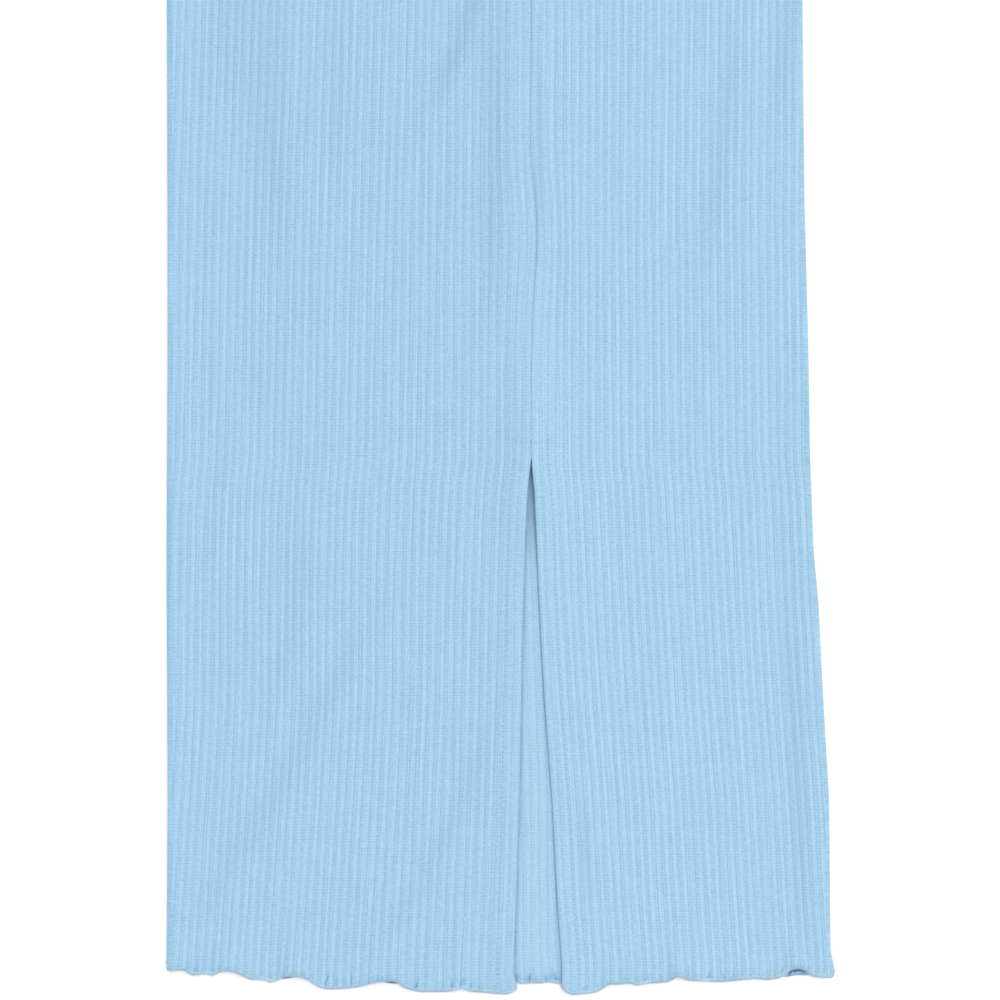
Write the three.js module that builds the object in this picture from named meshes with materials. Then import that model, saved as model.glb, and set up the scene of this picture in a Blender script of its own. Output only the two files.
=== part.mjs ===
import * as THREE from 'three';

// A rib knit midi skirt laid flat on a table, face up. It is a tube of three panels with a
// covered elastic waistband. The seam between the two front panels opens in a slit, and the
// hem has a wavy overlocked edge.
// While it is drawn, X runs across to the right as seen from above, Y runs up the garment
// from the hem line and Z rises from the table. All sizes are in millimetres.

// The cloth
const KNIT_WALL = 1.2; // at the groove between two ribs
const RIB_RISE = 0.45; // the flat crest of a rib over the groove
const CREST_START = 0.28; // where the crest starts and ends in one rib's width
const CREST_END = 0.72;
const SEAM_GAP = 0.3;

// Lengths up the garment
const HIP = 615;
const PANEL_TOP = 785;
const WAIST_TOP = 820;
const SLIT_TOP = 288;

// The ribs are counted from the front seam, and some run out at the side fold. Above the hip
// the elastic draws them together.
const RIB_PITCH = 4.51;
const LEFT_RIBS = 46;
const RIGHT_RIBS = 35;
const SPREAD_RIBS = 21; // the left panel's ribs beside the seam are the stretched ones

// The side folds, where the front turns down to meet the back
const FOLD_RADIUS = 1.5; // inside the wall
const FOLD_REACH = 18; // how far in from the side the front is lofted
const FOLD_STEPS = 3;

// The seam allowance folded back beneath the front seam and the slit's edges
const ALLOWANCE_WIDTH = 10;
const ALLOWANCE_SLOPE = 2;
const ALLOWANCE_RISE = 0.7;
const EDGE_SHARE = 0.55; // of the wall's thickness, left at the rounded cut edge

// The hem's waves fade out up the cloth
const OUTLINE_REACH = 46;
const LIFT_REACH = 30;

// The waistband
const BAND_WALL = 1.8;
const BAND_HOLLOW = 0.4;
const BAND_CORNER = 0.8;
const BAND_RIBS = 65;
const BAND_STEP_REACH = 25; // the front panels climb to the band's front over this length

// The skirt's side folds, up from the hem line
const SIDES = [
  { up: -6, left: -175, right: 193.2 },
  { up: 8, left: -175, right: 193.2 },
  { up: 19, left: -174.8, right: 191 },
  { up: 102, left: -174.3, right: 190.2 },
  { up: 157, left: -174.5, right: 187 },
  { up: 212, left: -174.8, right: 184.2 },
  { up: 239, left: -174.8, right: 181.6 },
  { up: 295, left: -174.6, right: 179.6 },
  { up: 350, left: -174.3, right: 178.8 },
  { up: 432, left: -174.4, right: 176.6 },
  { up: 542, left: -174.7, right: 175.5 },
  { up: HIP, left: -174.7, right: 175.5 },
  { up: 660, left: -172, right: 172.5 },
  { up: 705, left: -166, right: 166 },
  { up: 745, left: -157.5, right: 157.5 },
  { up: PANEL_TOP, left: -149.6, right: 149.6 },
  { up: WAIST_TOP, left: -147, right: 147 },
];

// The front seam and, below it, the two edges of the slit
const SEAM = [
  { up: -6, left: 17.2, right: 42.2 },
  { up: -1.5, left: 18, right: 42.6 },
  { up: 1.5, left: 17.7, right: 42.7 },
  { up: 6, left: 16.3, right: 42.8 },
  { up: 11, left: 16.6, right: 42.8 },
  { up: 47, left: 17.8, right: 40.2 },
  { up: 102, left: 19.5, right: 37.4 },
  { up: 157, left: 20.6, right: 33.2 },
  { up: 212, left: 21.8, right: 30.2 },
  { up: 234, left: 22.5, right: 29.3 },
  { up: 256, left: 23.3, right: 28.3 },
  { up: 272, left: 24.2, right: 27.6 },
  { up: 281, left: 25, right: 26.7 },
  { up: SLIT_TOP, left: 25.85, right: 26.15 },
  { up: WAIST_TOP, left: 25.85, right: 26.15 },
];

// How much wider than its pitch the stretched part of the left panel lies
const SPREAD = [
  { up: 0, wider: 8.8 },
  { up: 110, wider: 7 },
  { up: 212, wider: 6.2 },
  { up: 324, wider: 7.5 },
  { up: 542, wider: 0 },
];

// The front hem, one row for each wave's crest or trough: where it is across the skirt,
// how far the edge reaches above the hem line, and how far it lifts off the back
const FRONT_HEM = [
  { across: -175, up: 7.7, lift: 0.4 },
  { across: -166, up: 8.5, lift: 1.6 },
  { across: -160.3, up: 5.2, lift: 0 },
  { across: -152.6, up: 6, lift: 0.9 },
  { across: -149.6, up: 4.7, lift: 0 },
  { across: -146.6, up: 6.7, lift: 1.2 },
  { across: -142, up: 7.9, lift: 2.8 },
  { across: -136.4, up: 6.7, lift: 2 },
  { across: -127.6, up: 2.9, lift: 0.5 },
  { across: -121, up: 2.5, lift: 0.4 },
  { across: -117.4, up: 1.1, lift: 0 },
  { across: -111.6, up: 3.6, lift: 1.4 },
  { across: -108, up: 5.1, lift: 3 },
  { across: -101.8, up: 4.9, lift: 4 },
  { across: -97.7, up: 3.4, lift: 2.4 },
  { across: -88.7, up: -2, lift: 0.2 },
  { across: -84, up: -2.4, lift: 0 },
  { across: -72.6, up: -1.7, lift: 0.4 },
  { across: -56.7, up: 2.2, lift: 3.6 },
  { across: -51, up: 2.7, lift: 3.2 },
  { across: -47.4, up: 1.4, lift: 2 },
  { across: -44, up: -1.4, lift: 0.9 },
  { across: -33.6, up: -3.9, lift: 0 },
  { across: -17.6, up: -3.7, lift: 0 },
  { across: -11, up: -1.8, lift: 2.2 },
  { across: -9, up: -3.3, lift: 1 },
  { across: -2, up: -4.1, lift: 0 },
  { across: 12.1, up: -5.1, lift: 0 },
  { across: 15.8, up: -4.4, lift: 0.2 },
  { across: 18.2, up: -3, lift: 0.8 },
  { across: 41.3, up: 0, lift: 1.2 },
  { across: 46, up: -4.4, lift: 0.4 },
  { across: 50, up: -5.4, lift: 0 },
  { across: 62, up: -4, lift: 0.3 },
  { across: 68.2, up: -0.1, lift: 1.6 },
  { across: 71, up: 0.8, lift: 2.2 },
  { across: 75.4, up: 0.4, lift: 0.8 },
  { across: 79.8, up: 1.2, lift: 1.8 },
  { across: 84.2, up: -0.3, lift: 0.2 },
  { across: 92, up: 1.1, lift: 1.4 },
  { across: 101.8, up: 1.8, lift: 0.6 },
  { across: 106.9, up: 5, lift: 3.6 },
  { across: 112.2, up: 2.6, lift: 0.6 },
  { across: 118, up: 2.3, lift: 1.4 },
  { across: 128.7, up: 1.7, lift: 0.1 },
  { across: 150.2, up: 3.5, lift: 1.3 },
  { across: 156.8, up: 2.8, lift: 0.1 },
  { across: 162.8, up: 4.1, lift: 1.2 },
  { across: 166.1, up: 6, lift: 1.6 },
  { across: 169, up: 8.9, lift: 3.2 },
  { across: 173.5, up: 9.6, lift: 3.6 },
  { across: 177.3, up: 7.7, lift: 2.2 },
  { across: 180.8, up: 4.9, lift: 0.5 },
  { across: 184.3, up: 4.4, lift: 0.3 },
  { across: 193, up: 4.2, lift: 0.3 },
];

// The back hem lies just inside the front one and shows in the slit
const BACK_HEM = [
  { across: -175, up: 10.5, lift: 0 },
  { across: -141, up: 9.8, lift: 0 },
  { across: -118, up: 5, lift: 0 },
  { across: -111, up: 3, lift: 0 },
  { across: -104, up: 4.2, lift: 0 },
  { across: -98, up: 5.4, lift: 0 },
  { across: -84, up: 1.5, lift: 0 },
  { across: -64, up: 2.5, lift: 0 },
  { across: -53, up: 0.9, lift: 0 },
  { across: -48, up: 0.3, lift: 0 },
  { across: -43, up: 1.5, lift: 0 },
  { across: -30, up: 0, lift: 0 },
  { across: 6, up: -0.5, lift: 0 },
  { across: 14, up: 3, lift: 0.2 },
  { across: 16.8, up: 3.4, lift: 0.4 },
  { across: 18.5, up: 0.9, lift: 0 },
  { across: 23, up: 0.2, lift: 0 },
  { across: 27, up: 0.9, lift: 0.5 },
  { across: 30, up: 0.4, lift: 0 },
  { across: 37, up: 1.3, lift: 0.5 },
  { across: 41, up: 0.2, lift: 0 },
  { across: 60, up: -0.5, lift: 0 },
  { across: 70, up: 4, lift: 0 },
  { across: 92, up: 4, lift: 0 },
  { across: 107, up: 8, lift: 0 },
  { across: 135, up: 5.5, lift: 0 },
  { across: 160, up: 7, lift: 0 },
  { across: 168, up: 4.2, lift: 0 },
  { across: 173, up: 6.2, lift: 0.3 },
  { across: 177, up: 5, lift: 0 },
  { across: 184, up: 6.5, lift: 0 },
  { across: 193, up: 6.2, lift: 0 },
];

// Soft swells in the front where the knit does not lie quite flat
const SWELLS = [
  { across: 13, reach: 12, foot: 320, top: 650, rise: 1.5 },
  { across: 148, reach: 28, foot: 300, top: 700, rise: 1.2 },
  { across: -92, reach: 34, foot: 110, top: 520, rise: 1.1 },
  { across: -150, reach: 24, foot: 380, top: 700, rise: 1 },
  { across: 96, reach: 24, foot: 50, top: 330, rise: 0.9 },
  { across: 26, reach: 25, foot: 225, top: 355, rise: 2.6 },
];

// Heights up the cloth at which a panel's shape is worked out
const FRONT_ROWS = [0, 5, 11, 19, 30, 46, 110, 212, 260, SLIT_TOP, 350, 480, HIP, 660, 705, 745, PANEL_TOP];
const BACK_ROWS = [0, 8, 22, 46, 110, 212, SLIT_TOP, 480, HIP, 660, 705, 745, PANEL_TOP];
const BAND_ROWS = [PANEL_TOP, WAIST_TOP - BAND_CORNER, WAIST_TOP];
const BACK_FACE_COLUMNS = 74;
const BACK_UNDERSIDE_COLUMNS = 37;

const SAME_POINT = 1e-4;

const BLUE_KNIT = new THREE.Color(0.65, 0.81, 0.92);

function ease(share) {
  const s = THREE.MathUtils.clamp(share, 0, 1);
  return s * s * (3 - 2 * s);
}

// A value between two rows of a table, straight from one to the next.
function readTable(table, key, at, column) {
  const last = table.length - 1;
  if (at <= table[0][key]) return table[0][column];
  if (at >= table[last][key]) return table[last][column];
  const next = table.findIndex((row) => row[key] > at);
  const from = table[next - 1];
  const to = table[next];
  const share = (at - from[key]) / (to[key] - from[key]);
  return from[column] + (to[column] - from[column]) * share;
}

// A smooth line through a hem's rows, which turns only at their crests and troughs.
function readWaves(hem, at, column) {
  const last = hem.length - 1;
  if (at <= hem[0].across) return hem[0][column];
  if (at >= hem[last].across) return hem[last][column];
  const gap = (i) => hem[i + 1].across - hem[i].across;
  const climb = (i) => (hem[i + 1][column] - hem[i][column]) / gap(i);
  const slope = (i) => {
    if (i === 0 || i === last) return 0;
    const before = climb(i - 1);
    const after = climb(i);
    return before * after > 0 ? (2 * before * after) / (before + after) : 0;
  };
  const next = hem.findIndex((row) => row.across > at);
  const from = next - 1;
  const t = (at - hem[from].across) / gap(from);
  const start = hem[from][column] * (1 + 2 * t) + slope(from) * gap(from) * t;
  const end = hem[next][column] * (3 - 2 * t) + slope(next) * gap(from) * (t - 1);
  return start * (1 - t) ** 2 + end * t ** 2;
}

const sideFold = (side, up) => readTable(SIDES, 'up', up, side < 0 ? 'left' : 'right');

const hemLine = (hem, across) => readWaves(hem, across, 'up');

// The height of a point of the cloth, once the hem's wavy outline is fed in.
function heightOf(hem, across, row) {
  return row + hemLine(hem, across) * (1 - ease(row / OUTLINE_REACH));
}

function hemLift(hem, across, row) {
  const fade = Math.max(0, 1 - row / LIFT_REACH);
  return readWaves(hem, across, 'lift') * fade * fade;
}

function swell(across, up) {
  let rise = 0;
  for (const fold of SWELLS) {
    const aside = ease(1 - Math.abs(across - fold.across) / fold.reach);
    const middle = (fold.foot + fold.top) / 2;
    const along = ease(2 - (4 * Math.abs(up - middle)) / (fold.top - fold.foot));
    rise += fold.rise * aside * along;
  }
  return rise;
}

function backTop(across, up) {
  const row = Math.max(0, up - hemLine(BACK_HEM, across));
  return KNIT_WALL + hemLift(BACK_HEM, across, row);
}

// Columns across ribbed cloth, placed in ribs: a groove and the two edges of each crest.
function ribColumns(count) {
  const columns = [];
  for (let rib = 0; rib < count; rib += 1) {
    columns.push({ rib, rise: 0 });
    columns.push({ rib: rib + CREST_START, rise: RIB_RISE });
    columns.push({ rib: rib + CREST_END, rise: RIB_RISE });
  }
  columns.push({ rib: count, rise: 0 });
  return columns;
}

function plainColumns(count, perRib) {
  return Array.from({ length: count * perRib + 1 }, (_, i) => ({ rib: i / perRib, rise: 0 }));
}

// The last columns of a front panel go round its side fold.
function foldColumns(lastRib) {
  const turn = (i) => ({ rib: lastRib, rise: 0, bend: (i + 1) / FOLD_STEPS });
  return Array.from({ length: FOLD_STEPS }, (_, i) => turn(i));
}

// A closed skin is gathered here as points and outward triangles.
class Skin {
  constructor() {
    this.positions = [];
    this.triangles = [];
  }

  // Columns of ribs that have run out at the side fold share one point.
  addRow(points) {
    let last = null;
    return points.map((point) => {
      const same = last && Math.hypot(point.x - last.x, point.y - last.y, point.z - last.z) < SAME_POINT;
      if (!same) this.positions.push(point.x, point.y, point.z);
      last = point;
      return { index: this.positions.length / 3 - 1, share: point.share };
    });
  }

  addTriangle(a, b, c, turned) {
    if (a.index === b.index || b.index === c.index || c.index === a.index) return;
    this.triangles.push(a.index, ...(turned ? [c.index, b.index] : [b.index, c.index]));
  }

  // Two neighbouring rows with the same columns.
  addStrip(low, high, turned) {
    for (let i = 0; i + 1 < low.length; i += 1) {
      this.addTriangle(low[i], low[i + 1], high[i + 1], turned);
      this.addTriangle(low[i], high[i + 1], high[i], turned);
    }
  }

  // Two lines of one end of a wall, whose columns differ: the nearer column comes next.
  addEnd(under, over, turned) {
    let i = 0;
    let j = 0;
    while (i + 1 < under.length || j + 1 < over.length) {
      const underDone = i + 1 >= under.length;
      const overDone = j + 1 >= over.length;
      if (overDone || (!underDone && under[i + 1].share <= over[j + 1].share)) {
        this.addTriangle(under[i], under[i + 1], over[j], turned);
        i += 1;
      } else {
        this.addTriangle(under[i], over[j + 1], over[j], turned);
        j += 1;
      }
    }
  }

  toMesh(name) {
    const geometry = new THREE.BufferGeometry();
    geometry.setAttribute('position', new THREE.Float32BufferAttribute(this.positions, 3));
    geometry.setIndex(this.triangles);
    geometry.computeVertexNormals();
    const material = new THREE.MeshStandardMaterial({ color: BLUE_KNIT, roughness: 0.9, metalness: 0 });
    const mesh = new THREE.Mesh(geometry, material);
    mesh.name = name;
    return mesh;
  }
}

// A wall of cloth between its outer face and its inside, each given row by row from the hem
// up and, in a row, from left to right.
function clothWall(name, faceRows, insideRows) {
  const skin = new Skin();
  const face = faceRows.map((row) => skin.addRow(row));
  const inside = insideRows.map((row) => skin.addRow(row));
  for (let r = 0; r + 1 < face.length; r += 1) {
    skin.addStrip(face[r], face[r + 1], false);
    skin.addStrip(inside[r], inside[r + 1], true);
    skin.addStrip([inside[r].at(-1), face[r].at(-1)], [inside[r + 1].at(-1), face[r + 1].at(-1)], true);
    skin.addStrip([inside[r][0], face[r][0]], [inside[r + 1][0], face[r + 1][0]], false);
  }
  skin.addEnd(inside[0], face[0], false);
  skin.addEnd(inside.at(-1), face.at(-1), true);
  return skin.toMesh(name);
}

// A point on the inside of a front panel, found by its column and row. `side` is -1 for the
// left panel and 1 for the right one. `nudge` is a small step further along the row.
function frontInside(side, column, row, nudge = 0) {
  const edgeName = side < 0 ? 'left' : 'right';
  const flatAt = (up) => {
    const edge = readTable(SEAM, 'up', up, edgeName);
    return Math.abs(sideFold(side, up) - edge) - KNIT_WALL - FOLD_RADIUS;
  };
  const place = (up) => {
    const flat = flatAt(up);
    const gathered = up > HIP ? flat / flatAt(HIP) : 1;
    const wider = side < 0 ? readTable(SPREAD, 'up', up, 'wider') * ease(column.rib / SPREAD_RIBS) : 0;
    const ribAlong = Math.min(column.rib * RIB_PITCH * gathered + wider, flat);
    const quarter = (FOLD_RADIUS * Math.PI) / 2;
    const along = THREE.MathUtils.clamp(ribAlong + quarter * (column.bend ?? 0) + nudge, 0, flat + quarter);
    const angle = Math.max(0, along - flat) / FOLD_RADIUS;
    const reach = Math.min(along, flat) + FOLD_RADIUS * Math.sin(angle);
    const loft = along > flat ? Math.cos(angle) : ease(1 - (flat - along) / FOLD_REACH);
    return {
      x: readTable(SEAM, 'up', up, edgeName) + side * reach,
      along,
      loft,
      lying: Math.cos(angle),
      ribbed: ribAlong < flat,
    };
  };
  const up = Math.min(heightOf(FRONT_HEM, place(row).x, row), PANEL_TOP - SEAM_GAP);
  const at = place(up);
  const bandStep = BAND_WALL + BAND_HOLLOW - KNIT_WALL - SEAM_GAP;
  const climb = bandStep * ease(1 - (PANEL_TOP - up) / BAND_STEP_REACH);
  const soft = hemLift(FRONT_HEM, at.x, row) + swell(at.x, up);
  const base = backTop(at.x, up) + SEAM_GAP + climb;
  return { ...at, y: up, z: base + FOLD_RADIUS * at.loft + soft * at.lying };
}

function frontRow(side, row, columns, isFace) {
  const step = 0.01;
  const points = columns.map((column) => {
    const inside = frontInside(side, column, row);
    let thickness = 0;
    if (isFace) {
      const allowance = ease((ALLOWANCE_WIDTH + ALLOWANCE_SLOPE - inside.along) / ALLOWANCE_SLOPE);
      thickness = KNIT_WALL + ALLOWANCE_RISE * allowance + (inside.ribbed ? column.rise : 0);
      if (column.rib === 0) thickness *= EDGE_SHARE;
    }
    const before = frontInside(side, column, row, -step);
    const after = frontInside(side, column, row, step);
    const run = Math.hypot(after.x - before.x, after.z - before.z);
    return {
      x: inside.x - (side * thickness * (after.z - before.z)) / run,
      y: inside.y,
      z: inside.z + (side * thickness * (after.x - before.x)) / run,
      share: side * inside.along,
    };
  });
  return side < 0 ? points.reverse() : points;
}

function frontPanel(name, side, ribs) {
  const faceColumns = [...ribColumns(ribs), ...foldColumns(ribs)];
  const insideColumns = [...plainColumns(ribs, 2), ...foldColumns(ribs)];
  const face = FRONT_ROWS.map((row) => frontRow(side, row, faceColumns, true));
  const inside = FRONT_ROWS.map((row) => frontRow(side, row, insideColumns, false));
  return clothWall(name, face, inside);
}

// The back panel lies on the table, so its ribbed outer side is pressed flat.
function backPanel(name) {
  const rowAt = (row, count, isFace) => Array.from({ length: count + 1 }, (_, i) => {
    const share = i / count;
    const acrossAt = (up, inset) => {
      const left = sideFold(-1, up) + inset;
      return left + (sideFold(1, up) - inset - left) * share;
    };
    const up = Math.min(heightOf(BACK_HEM, acrossAt(row, 0), row), PANEL_TOP - SEAM_GAP);
    const x = acrossAt(up, isFace ? 0 : KNIT_WALL / 2);
    const top = backTop(x, up);
    return { x, y: up, z: isFace ? top : top - KNIT_WALL, share };
  });
  const face = BACK_ROWS.map((row) => rowAt(row, BACK_FACE_COLUMNS, true));
  const underside = BACK_ROWS.map((row) => rowAt(row, BACK_UNDERSIDE_COLUMNS, false));
  return clothWall(name, face, underside);
}

// The waistband is one flattened ring, ribbed in front, with the elastic inside its wall.
function bandLoop(row, inset) {
  const half = sideFold(1, row) - inset;
  const top = 2 * BAND_WALL + BAND_HOLLOW;
  const flat = half - BAND_CORNER;
  const points = [{ x: -half, z: top / 2 }, { x: -half, z: top - BAND_CORNER }];
  for (const { rib, rise } of ribColumns(BAND_RIBS)) {
    points.push({ x: ((2 * rib) / BAND_RIBS - 1) * flat, z: top + rise - inset });
  }
  points.push({ x: half, z: top - BAND_CORNER }, { x: half, z: top / 2 });
  points.push({ x: half, z: BAND_CORNER }, { x: flat, z: inset });
  points.push({ x: -flat, z: inset }, { x: -half, z: BAND_CORNER });
  return points.map((point) => ({ ...point, y: row }));
}

function hollowLoop(row) {
  const half = sideFold(1, row) - BAND_WALL;
  const low = BAND_WALL;
  const high = BAND_WALL + BAND_HOLLOW;
  const points = [{ x: -half, z: (low + high) / 2 }];
  for (const { rib } of plainColumns(BAND_RIBS, 1)) {
    points.push({ x: ((2 * rib) / BAND_RIBS - 1) * (half - BAND_HOLLOW), z: high });
  }
  points.push({ x: half, z: (low + high) / 2 });
  points.push({ x: half - BAND_HOLLOW, z: low }, { x: BAND_HOLLOW - half, z: low });
  return points.map((point) => ({ ...point, y: row }));
}

function waistband(name) {
  const skin = new Skin();
  // A loop's share is its place round the ring, over the front and back under the back.
  const closeLoop = (points) => {
    const widest = Math.max(...points.map((point) => point.x));
    const halfway = BAND_WALL + BAND_HOLLOW / 2;
    const shared = points.map((point) => {
      const across = (point.x / widest + 1) / 4;
      return { ...point, share: point.z >= halfway ? across : 1 - across };
    });
    const row = skin.addRow(shared);
    return [...row, { index: row[0].index, share: 1 }];
  };
  const insetOf = (row) => (row === WAIST_TOP ? BAND_CORNER / 2 : 0);
  const outer = BAND_ROWS.map((row) => closeLoop(bandLoop(row, insetOf(row))));
  const inner = BAND_ROWS.map((row) => closeLoop(hollowLoop(row)));
  for (let r = 0; r + 1 < outer.length; r += 1) {
    skin.addStrip(outer[r], outer[r + 1], false);
    skin.addStrip(inner[r], inner[r + 1], true);
  }
  skin.addEnd(inner[0], outer[0], false);
  skin.addEnd(inner.at(-1), outer.at(-1), true);
  return skin.toMesh(name);
}

const group = new THREE.Group();
group.add(frontPanel('front_left_panel', -1, LEFT_RIBS));
group.add(frontPanel('front_right_panel', 1, RIGHT_RIBS));
group.add(backPanel('back_panel'));
group.add(waistband('waistband'));

// The origin is on the table under the middle of the skirt.
const bounds = new THREE.Box3().setFromObject(group);
const middle = bounds.getCenter(new THREE.Vector3());
group.position.set(-middle.x, -middle.y, -bounds.min.z);

export default group;
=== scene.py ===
import math

import bmesh
import bpy
import numpy as np
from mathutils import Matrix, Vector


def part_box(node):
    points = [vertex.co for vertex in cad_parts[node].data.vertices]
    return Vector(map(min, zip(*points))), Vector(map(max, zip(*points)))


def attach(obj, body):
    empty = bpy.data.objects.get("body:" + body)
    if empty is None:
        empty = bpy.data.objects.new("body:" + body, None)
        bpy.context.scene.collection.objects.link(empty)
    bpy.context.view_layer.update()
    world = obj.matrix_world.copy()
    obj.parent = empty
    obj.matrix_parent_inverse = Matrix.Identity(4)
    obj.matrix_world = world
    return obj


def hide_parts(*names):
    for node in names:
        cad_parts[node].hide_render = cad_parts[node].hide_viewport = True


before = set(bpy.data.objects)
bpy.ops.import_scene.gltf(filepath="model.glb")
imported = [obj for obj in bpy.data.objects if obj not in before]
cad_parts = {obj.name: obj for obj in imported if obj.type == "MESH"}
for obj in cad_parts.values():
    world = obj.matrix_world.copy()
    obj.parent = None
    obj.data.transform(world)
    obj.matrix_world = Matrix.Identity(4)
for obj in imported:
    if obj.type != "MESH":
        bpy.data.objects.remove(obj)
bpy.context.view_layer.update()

# Back panel: one piece of blue rib knit cut to the whole width of the back. It lies on the
# table with its ribs pressed flat, and its inside shows in the slit. Sizes are in millimetres
# on the skirt: across from the middle of the waist, and up from the hem line.
MM = 0.001
KNIT_WALL = 1.2
SEAM_GAP = 0.3
HIP = 615
PANEL_TOP = 785
WAIST_TOP = 820
BACK_RIBS = 80
BACK_RIB_RELIEF = 0.3
OUTLINE_REACH = 46
LIFT_REACH = 30
PRESS_REACH = 5
RIB_START = 2.6
PRESS_OVER = 0.1
PRESS_UNDER = 0.35
EDGE_ROUND = 1.0
COURSE = 1.65
SAME_POINT = 2e-6
NO_LENGTH = 1e-7

# The side folds: up, left and right.
SIDES = [
    (-6, -175, 193.2),
    (8, -175, 193.2),
    (19, -174.8, 191),
    (102, -174.3, 190.2),
    (157, -174.5, 187),
    (212, -174.8, 184.2),
    (239, -174.8, 181.6),
    (295, -174.6, 179.6),
    (350, -174.3, 178.8),
    (432, -174.4, 176.6),
    (542, -174.7, 175.5),
    (HIP, -174.7, 175.5),
    (660, -172, 172.5),
    (705, -166, 166),
    (745, -157.5, 157.5),
    (PANEL_TOP, -149.6, 149.6),
    (WAIST_TOP, -147, 147),
]

# The back hem's waves: across, how far the edge reaches above the hem line, and its lift.
BACK_HEM = [
    (-175, 10.5, 0),
    (-141, 9.8, 0),
    (-118, 5, 0),
    (-111, 3, 0),
    (-104, 4.2, 0),
    (-98, 5.4, 0),
    (-84, 1.5, 0),
    (-64, 2.5, 0),
    (-53, 0.9, 0),
    (-48, 0.3, 0),
    (-43, 1.5, 0),
    (-30, 0, 0),
    (6, -0.5, 0),
    (14, 3, 0.2),
    (16.8, 3.4, 0.4),
    (18.5, 0.9, 0),
    (23, 0.2, 0),
    (27, 0.9, 0.5),
    (30, 0.4, 0),
    (37, 1.3, 0.5),
    (41, 0.2, 0),
    (60, -0.5, 0),
    (70, 4, 0),
    (92, 4, 0),
    (107, 8, 0),
    (135, 5.5, 0),
    (160, 7, 0),
    (165, 4, 0),
    (173, 5.2, 0.3),
    (177, 5, 0),
    (184, 6.5, 0),
    (193, 6.2, 0),
]

# Where the back's edge curls up in the slit: across, how far.
RIM_CURLS = [
    (17, 0), (20.5, 1.9), (23.8, 0), (27, 1.5), (30.5, 0.3), (34.5, 0.1), (38, 1.7), (41.5, 0),
]
CURL_REACH = 4

# Shade on the back in the slit: in its head, along its left and right edge and at its rim.
HEAD_SHADE = 0.5
HEAD_FOOT = 238
HEAD_HEIGHT = 52
LEFT_EDGE_SHADE, LEFT_EDGE_REACH = 0.32, 2.1
RIGHT_EDGE_SHADE, RIGHT_EDGE_REACH = 0.04, 2.6
RIM_SHADE = 0.1
RIM_SHADE_FROM, RIM_SHADE_REACH = 2, 6
GAP_FROM, GAP_REACH = 0.6, 1.2
GAP_TOP, GAP_TOP_REACH = 9, 8
GATHER_FROM, GATHER_REACH = 0.9, 1.4

# Where the front's edge stands off the back and shade lies between them: across, how dark the
# back is there, and its edge's thread.
HEM_GAPS = [
    (-113, 0, 0),
    (-109.5, 1, 0.95),
    (-105.5, 1, 0.95),
    (-102, 0, 0),
    (-56, 0, 0),
    (-53, 1, 0.9),
    (-49, 1, 0.9),
    (-46.5, 0, 0),
    (104, 0, 0),
    (107, 0.3, 0.2),
    (109, 0, 0),
    (161.5, 0, 0),
    (164.5, 0.8, -0.1),
    (166.8, 1, 0),
    (168.2, 1, 0.9),
    (169.8, 1, 0),
    (173, 0.9, 0.1),
    (176, 0.7, 0.3),
    (178.5, 0, 0),
]

# Small creases where the thread gathers the hem, darkened with painted shade. Each runs up from
# the hem: across, lean over its height, height, half width and how dark. The back's show only in
# the slit.
BACK_GATHERS = [
    (18.2, 0, 6, 1.6, 0.35),
    (21.5, 0.5, 4, 1, 0.2),
    (24.2, 2, 7, 1.4, 0.6),
    (33.5, 1, 5, 1.3, 0.4),
    (37, 0.5, 9, 1.4, 0.24),
    (40, -1, 7, 1.8, 0.5),
]

# The front seam and the slit's edges below it: up, left and right.
SLIT_TOP = 288
SEAM = [
    (-6, 17.2, 42.2),
    (-1.5, 18, 42.6),
    (1.5, 17.7, 42.7),
    (6, 16.3, 42.8),
    (11, 16.6, 42.8),
    (47, 17.8, 40.2),
    (102, 19.5, 37.4),
    (157, 20.6, 33.2),
    (212, 21.8, 30.2),
    (234, 22.5, 29.3),
    (256, 23.3, 28.3),
    (272, 24.2, 27.6),
    (281, 25, 26.7),
    (SLIT_TOP, 25.98, 26.02),
    (WAIST_TOP, 25.98, 26.02),
]

# Rows are closest at the hem, where the edge curls.
CLOTH_ROWS = np.concatenate([
    [0, 0.3, 0.7, 1.2, 2, 3],
    np.arange(4.5, 12, 1.5),
    np.arange(12, OUTLINE_REACH, 2.5),
    np.linspace(OUTLINE_REACH, PANEL_TOP, 122),
])


def ease(share):
    s = np.clip(share, 0, 1)
    return s * s * (3 - 2 * s)


def fade(distance, reach):
    """From 1 at no distance down to 0 at the reach."""
    return 1 - ease(distance / reach)


def read_table(table, at, column):
    """A value between two rows of a table, straight from one to the next."""
    return np.interp(at, [row[0] for row in table], [row[column] for row in table])


def read_waves(table, at, column):
    """A smooth line through a table's rows that turns only at its crests and troughs."""
    keys = np.array([row[0] for row in table], float)
    values = np.array([row[column] for row in table], float)
    step_up = np.diff(values) / np.diff(keys)
    before, after = step_up[:-1], step_up[1:]
    climbing = before * after > 0
    slope = np.zeros(len(keys))
    slope[1:-1] = np.where(climbing, 2 * before * after / np.where(climbing, before + after, 1), 0)
    at = np.clip(at, keys[0], keys[-1])
    i = np.clip(np.searchsorted(keys, at, side="right") - 1, 0, len(keys) - 2)
    gap = keys[i + 1] - keys[i]
    t = (at - keys[i]) / gap
    start = values[i] * (1 + 2 * t) + slope[i] * gap * t
    end = values[i + 1] * (3 - 2 * t) + slope[i + 1] * gap * (t - 1)
    return start * (1 - t) ** 2 + end * t * t


def side_fold(side, up):
    return read_table(SIDES, up, 1 if side < 0 else 2)


def hem_line(hem, across):
    return read_waves(hem, across, 1)


def height_of(hem, across, row):
    """The height of a point of the cloth, once the hem's wavy outline is fed in."""
    return row + hem_line(hem, across) * fade(row, OUTLINE_REACH)


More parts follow.
